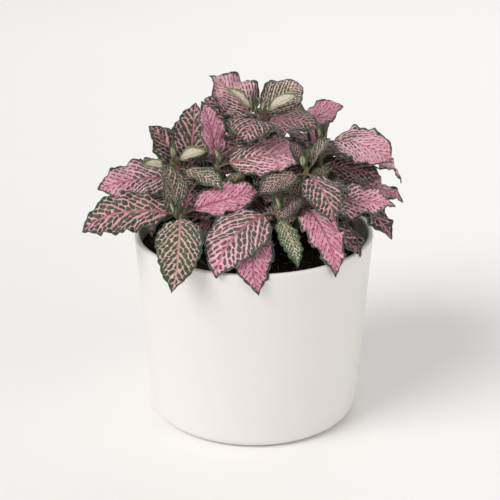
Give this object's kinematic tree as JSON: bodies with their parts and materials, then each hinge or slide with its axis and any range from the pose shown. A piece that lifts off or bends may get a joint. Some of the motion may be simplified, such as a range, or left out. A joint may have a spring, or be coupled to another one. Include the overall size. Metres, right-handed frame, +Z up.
{
  "type": "potted nerve plant",
  "caption": "Bushy nerve plant with net-veined leaves, rooted in potting soil in a plain tapered ceramic cover pot.",
  "frame": {"origin": "centre of the pot's underside, on the surface the pot stands on", "axes": "+Z up along the pot's axis, -Y towards the front, +X to the right seen from the front"},
  "size_m": [0.1823, 0.1734, 0.1939],
  "materials": {
    "pot": "plain white satin glaze",
    "soil": "dark moist potting mix",
    "stem": "pale green, slightly hairy",
    "leaf": "dark green with a pink vein net, waxy satin"
  },
  "bodies": {
    "root": {"pot": "pot", "soil": "soil", "crown_stem": "stem", "left_stem": "stem", "front_left_stem": "stem", "front_stem": "stem", "front_right_stem": "stem", "right_stem": "stem", "middle_stem": "stem", "back_right_stem": "stem", "back_left_stem": "stem", "back_stem": "stem", "crown_leaf_1": "leaf", "crown_leaf_2": "leaf", "crown_leaf_3": "leaf", "crown_leaf_4": "leaf", "crown_leaf_5": "leaf", "crown_leaf_6": "leaf", "crown_leaf_7": "leaf", "crown_leaf_8": "leaf", "left_leaf_1": "leaf", "left_leaf_2": "leaf", "left_leaf_3": "leaf", "left_leaf_4": "leaf", "left_leaf_5": "leaf", "front_left_leaf_1": "leaf", "front_left_leaf_2": "leaf", "front_left_leaf_3": "leaf", "front_left_leaf_4": "leaf", "front_left_leaf_5": "leaf", "front_leaf_1": "leaf", "front_leaf_2": "leaf", "front_leaf_3": "leaf", "front_leaf_4": "leaf", "front_right_leaf_1": "leaf", "front_right_leaf_2": "leaf", "front_right_leaf_3": "leaf", "front_right_leaf_4": "leaf", "front_right_leaf_5": "leaf", "front_right_leaf_6": "leaf", "front_right_leaf_7": "leaf", "front_right_leaf_8": "leaf", "right_leaf_1": "leaf", "right_leaf_2": "leaf", "right_leaf_3": "leaf", "right_leaf_4": "leaf", "right_leaf_5": "leaf", "right_leaf_6": "leaf", "middle_leaf_1": "leaf", "middle_leaf_2": "leaf", "back_right_leaf_1": "leaf", "back_right_leaf_2": "leaf", "back_right_leaf_3": "leaf", "back_right_leaf_4": "leaf", "back_left_leaf_1": "leaf", "back_left_leaf_2": "leaf", "back_left_leaf_3": "leaf", "back_left_leaf_4": "leaf", "back_leaf_1": "leaf", "back_leaf_2": "leaf"}
  },
  "joints": []
}
